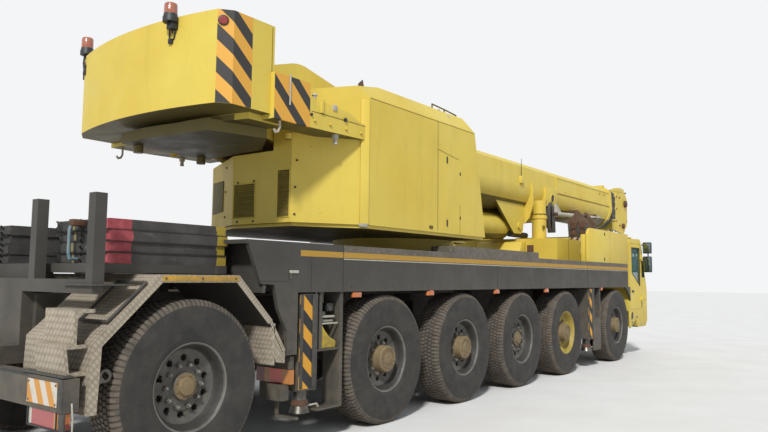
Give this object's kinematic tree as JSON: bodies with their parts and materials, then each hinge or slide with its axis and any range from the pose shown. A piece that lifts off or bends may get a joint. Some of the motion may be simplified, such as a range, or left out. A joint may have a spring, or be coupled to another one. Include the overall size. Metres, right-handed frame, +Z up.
{
  "type": "six-axle telescopic mobile crane",
  "caption": "Six-axle truck crane with slewing house, counterweight, stowed telescopic boom on its rest, outriggers, steered wheels and carrier cab.",
  "frame": {"origin": "on the ground under the middle of the crane's overall box", "axes": "+X forward towards the driver's cab, +Y to the left, +Z up"},
  "size_m": [15.4, 3.36, 4.11],
  "materials": {
    "carrier_grey": "dusty dark grey enamel, satin",
    "crane_yellow": "faded yellow enamel, chalky, satin",
    "axle_grey": "oily dark grey paint",
    "wheel_rubber": "dusty rubber",
    "checker_plate": "dirty raised-pattern plate",
    "mat_board": "scuffed recycled plastic board",
    "window_glass": "tinted safety glass",
    "cab_trim": "grained trim and cloth",
    "lamp_lens": "moulded lens",
    "mirror_black": "black moulding",
    "rust_steel": "rusty weathered steel",
    "rod_chrome": "hard chrome",
    "jack_steel": "greasy bright steel",
    "sheave_nylon": "cast nylon, greasy"
  },
  "bodies": {
    "carrier": {"chassis": "carrier_grey", "axle_beams": "axle_grey", "side_decks": "carrier_grey", "rear_fenders": "checker_plate", "rear_rack": "carrier_grey", "support_mats": "mat_board", "boom_rest": "crane_yellow", "engine_hood": "crane_yellow", "driver_cab": "crane_yellow", "cab_glass": "window_glass", "cab_interior": "cab_trim", "lamps": "lamp_lens", "mirrors": "mirror_black", "hook_block": "rust_steel"},
    "wheel_l1": {"wheel_l1": "wheel_rubber"},
    "knuckle_l1": {"knuckle_l1": "axle_grey"},
    "wheel_r1": {"wheel_r1": "wheel_rubber"},
    "knuckle_r1": {"knuckle_r1": "axle_grey"},
    "wheel_l2": {"wheel_l2": "wheel_rubber"},
    "knuckle_l2": {"knuckle_l2": "axle_grey"},
    "wheel_r2": {"wheel_r2": "wheel_rubber"},
    "knuckle_r2": {"knuckle_r2": "axle_grey"},
    "wheel_l3": {"wheel_l3": "wheel_rubber"},
    "knuckle_l3": {"knuckle_l3": "axle_grey"},
    "wheel_r3": {"wheel_r3": "wheel_rubber"},
    "knuckle_r3": {"knuckle_r3": "axle_grey"},
    "wheel_l4": {"wheel_l4": "wheel_rubber"},
    "wheel_r4": {"wheel_r4": "wheel_rubber"},
    "wheel_l5": {"wheel_l5": "wheel_rubber"},
    "knuckle_l5": {"knuckle_l5": "axle_grey"},
    "wheel_r5": {"wheel_r5": "wheel_rubber"},
    "knuckle_r5": {"knuckle_r5": "axle_grey"},
    "wheel_l6": {"wheel_l6": "wheel_rubber"},
    "knuckle_l6": {"knuckle_l6": "axle_grey"},
    "wheel_r6": {"wheel_r6": "wheel_rubber"},
    "knuckle_r6": {"knuckle_r6": "axle_grey"},
    "cab_door_r": {"cab_door_r": "crane_yellow"},
    "cab_door_l": {"cab_door_l": "crane_yellow"},
    "beam_rear_r": {"beam_rear_r": "carrier_grey"},
    "jack_rear_r": {"jack_rear_r": "jack_steel"},
    "beam_rear_l": {"beam_rear_l": "carrier_grey"},
    "jack_rear_l": {"jack_rear_l": "jack_steel"},
    "beam_front_r": {"beam_front_r": "carrier_grey"},
    "jack_front_r": {"jack_front_r": "jack_steel"},
    "beam_front_l": {"beam_front_l": "carrier_grey"},
    "jack_front_l": {"jack_front_l": "jack_steel"},
    "superstructure": {"slew_platform": "crane_yellow", "machinery_house": "crane_yellow", "counterweight": "crane_yellow", "crane_cab": "crane_yellow", "crane_cab_glass": "window_glass"},
    "crane_cab_door": {"crane_cab_door": "crane_yellow"},
    "winch_drum": {"winch_drum": "rust_steel"},
    "boom_base": {"boom_base": "crane_yellow"},
    "telescope_1": {"telescope_1": "carrier_grey"},
    "telescope_2": {"telescope_2": "carrier_grey"},
    "telescope_3": {"telescope_3": "crane_yellow"},
    "head_sheaves": {"head_sheaves": "sheave_nylon"},
    "luff_barrel": {"luff_barrel": "crane_yellow"},
    "luff_rod": {"luff_rod": "rod_chrome"}
  },
  "joints": [
    {"name": "steer_l1", "type": "hinge", "parent": "carrier", "child": "knuckle_l1", "pos_m": [3.35, 1.05, 0.685], "axis": [0, 0, 1], "range_deg": [-28, 28]},
    {"name": "roll_l1", "type": "hinge", "parent": "knuckle_l1", "child": "wheel_l1", "pos_m": [3.35, 1.3, 0.685], "axis": [0, 1, 0], "continuous": true},
    {"name": "steer_r1", "type": "hinge", "parent": "carrier", "child": "knuckle_r1", "pos_m": [3.35, -1.05, 0.685], "axis": [0, 0, 1], "range_deg": [-28, 28]},
    {"name": "roll_r1", "type": "hinge", "parent": "knuckle_r1", "child": "wheel_r1", "pos_m": [3.35, -1.3, 0.685], "axis": [0, 1, 0], "continuous": true},
    {"name": "steer_l2", "type": "hinge", "parent": "carrier", "child": "knuckle_l2", "pos_m": [0.85, 1.05, 0.685], "axis": [0, 0, 1], "range_deg": [-20.5, 20.5]},
    {"name": "roll_l2", "type": "hinge", "parent": "knuckle_l2", "child": "wheel_l2", "pos_m": [0.85, 1.3, 0.685], "axis": [0, 1, 0], "continuous": true},
    {"name": "steer_r2", "type": "hinge", "parent": "carrier", "child": "knuckle_r2", "pos_m": [0.85, -1.05, 0.685], "axis": [0, 0, 1], "range_deg": [-20.5, 20.5]},
    {"name": "roll_r2", "type": "hinge", "parent": "knuckle_r2", "child": "wheel_r2", "pos_m": [0.85, -1.3, 0.685], "axis": [0, 1, 0], "continuous": true},
    {"name": "steer_l3", "type": "hinge", "parent": "carrier", "child": "knuckle_l3", "pos_m": [-0.8, 1.05, 0.685], "axis": [0, 0, 1], "range_deg": [-14.5, 14.5]},
    {"name": "roll_l3", "type": "hinge", "parent": "knuckle_l3", "child": "wheel_l3", "pos_m": [-0.8, 1.3, 0.685], "axis": [0, 1, 0], "continuous": true},
    {"name": "steer_r3", "type": "hinge", "parent": "carrier", "child": "knuckle_r3", "pos_m": [-0.8, -1.05, 0.685], "axis": [0, 0, 1], "range_deg": [-14.5, 14.5]},
    {"name": "roll_r3", "type": "hinge", "parent": "knuckle_r3", "child": "wheel_r3", "pos_m": [-0.8, -1.3, 0.685], "axis": [0, 1, 0], "continuous": true},
    {"name": "roll_l4", "type": "hinge", "parent": "carrier", "child": "wheel_l4", "pos_m": [-2.45, 1.3, 0.685], "axis": [0, 1, 0], "continuous": true},
    {"name": "roll_r4", "type": "hinge", "parent": "carrier", "child": "wheel_r4", "pos_m": [-2.45, -1.3, 0.685], "axis": [0, 1, 0], "continuous": true},
    {"name": "steer_l5", "type": "hinge", "parent": "carrier", "child": "knuckle_l5", "pos_m": [-4.1, 1.05, 0.685], "axis": [0, 0, 1], "range_deg": [-11.5, 11.5]},
    {"name": "roll_l5", "type": "hinge", "parent": "knuckle_l5", "child": "wheel_l5", "pos_m": [-4.1, 1.3, 0.685], "axis": [0, 1, 0], "continuous": true},
    {"name": "steer_r5", "type": "hinge", "parent": "carrier", "child": "knuckle_r5", "pos_m": [-4.1, -1.05, 0.685], "axis": [0, 0, 1], "range_deg": [-11.5, 11.5]},
    {"name": "roll_r5", "type": "hinge", "parent": "knuckle_r5", "child": "wheel_r5", "pos_m": [-4.1, -1.3, 0.685], "axis": [0, 1, 0], "continuous": true},
    {"name": "steer_l6", "type": "hinge", "parent": "carrier", "child": "knuckle_l6", "pos_m": [-6.65, 1.05, 0.685], "axis": [0, 0, 1], "range_deg": [-24, 24]},
    {"name": "roll_l6", "type": "hinge", "parent": "knuckle_l6", "child": "wheel_l6", "pos_m": [-6.65, 1.3, 0.685], "axis": [0, 1, 0], "continuous": true},
    {"name": "steer_r6", "type": "hinge", "parent": "carrier", "child": "knuckle_r6", "pos_m": [-6.65, -1.05, 0.685], "axis": [0, 0, 1], "range_deg": [-24, 24]},
    {"name": "roll_r6", "type": "hinge", "parent": "knuckle_r6", "child": "wheel_r6", "pos_m": [-6.65, -1.3, 0.685], "axis": [0, 1, 0], "continuous": true},
    {"name": "cab_door_r_hinge", "type": "hinge", "parent": "carrier", "child": "cab_door_r", "pos_m": [4.9125, -1.496, 1.6], "axis": [0, 0, 1], "range_deg": [0, 70]},
    {"name": "cab_door_l_hinge", "type": "hinge", "parent": "carrier", "child": "cab_door_l", "pos_m": [4.9125, 1.496, 1.6], "axis": [0, 0, -1], "range_deg": [0, 70]},
    {"name": "beam_rear_r_slide", "type": "slide", "parent": "carrier", "child": "beam_rear_r", "axis": [0, -1, 0], "range_m": [0, 2]},
    {"name": "jack_rear_r_slide", "type": "slide", "parent": "beam_rear_r", "child": "jack_rear_r", "axis": [0, 0, -1], "range_m": [0, 0.65]},
    {"name": "beam_rear_l_slide", "type": "slide", "parent": "carrier", "child": "beam_rear_l", "axis": [0, 1, 0], "range_m": [0, 2]},
    {"name": "jack_rear_l_slide", "type": "slide", "parent": "beam_rear_l", "child": "jack_rear_l", "axis": [0, 0, -1], "range_m": [0, 0.65]},
    {"name": "beam_front_r_slide", "type": "slide", "parent": "carrier", "child": "beam_front_r", "axis": [0, -1, 0], "range_m": [0, 2]},
    {"name": "jack_front_r_slide", "type": "slide", "parent": "beam_front_r", "child": "jack_front_r", "axis": [0, 0, -1], "range_m": [0, 0.65]},
    {"name": "beam_front_l_slide", "type": "slide", "parent": "carrier", "child": "beam_front_l", "axis": [0, 1, 0], "range_m": [0, 2]},
    {"name": "jack_front_l_slide", "type": "slide", "parent": "beam_front_l", "child": "jack_front_l", "axis": [0, 0, -1], "range_m": [0, 0.65]},
    {"name": "slew", "type": "hinge", "parent": "carrier", "child": "superstructure", "pos_m": [-2, 0, 1.9], "axis": [0, 0, 1], "continuous": true},
    {"name": "crane_cab_door_hinge", "type": "hinge", "parent": "superstructure", "child": "crane_cab_door", "pos_m": [-1.3175, 1.466, 2.8], "axis": [0, 0, 1], "range_deg": [0, 85]},
    {"name": "winch_turn", "type": "hinge", "parent": "superstructure", "child": "winch_drum", "pos_m": [-4.75, 0, 3.25], "axis": [0, 1, 0], "continuous": true},
    {"name": "luff", "type": "hinge", "parent": "superstructure", "child": "boom_base", "pos_m": [-3.65, 0, 3.3], "axis": [0, -1, 0], "range_deg": [0, 80]},
    {"name": "extend_1", "type": "slide", "parent": "boom_base", "child": "telescope_1", "axis": [1, 0, 0], "range_m": [0, 7.6]},
    {"name": "extend_2", "type": "slide", "parent": "telescope_1", "child": "telescope_2", "axis": [1, 0, 0], "range_m": [0, 7.6]},
    {"name": "extend_3", "type": "slide", "parent": "telescope_2", "child": "telescope_3", "axis": [1, 0, 0], "range_m": [0, 7.6]},
    {"name": "head_sheaves_turn", "type": "hinge", "parent": "telescope_3", "child": "head_sheaves", "pos_m": [7.45, 0, 3.47], "axis": [0, 1, 0], "continuous": true},
    {"name": "barrel_tilt", "type": "hinge", "parent": "superstructure", "child": "luff_barrel", "pos_m": [-2.35, 0, 2.35], "axis": [0, -1, 0], "range_deg": [0, 84.2]},
    {"name": "rod_stroke", "type": "slide", "parent": "luff_barrel", "child": "luff_rod", "axis": [0.9989, 0, 0.0467], "range_m": [0, 2.06]}
  ],
  "couplings": [
    {"joint": "steer_l1", "follows": "steer_r1", "ratio": 1},
    {"joint": "steer_l2", "follows": "steer_r1", "ratio": 0.72},
    {"joint": "steer_r2", "follows": "steer_r1", "ratio": 0.72},
    {"joint": "steer_l3", "follows": "steer_r1", "ratio": 0.5},
    {"joint": "steer_r3", "follows": "steer_r1", "ratio": 0.5},
    {"joint": "steer_l5", "follows": "steer_r6", "ratio": 0.45},
    {"joint": "steer_r5", "follows": "steer_r6", "ratio": 0.45},
    {"joint": "steer_l6", "follows": "steer_r6", "ratio": 1},
    {"joint": "extend_2", "follows": "extend_1", "ratio": 1},
    {"joint": "extend_3", "follows": "extend_1", "ratio": 1},
    {"joint": "barrel_tilt", "follows": "luff", "ratio": 1.049},
    {"joint": "rod_stroke", "follows": "luff", "m_per_rad": 1.464}
  ]
}
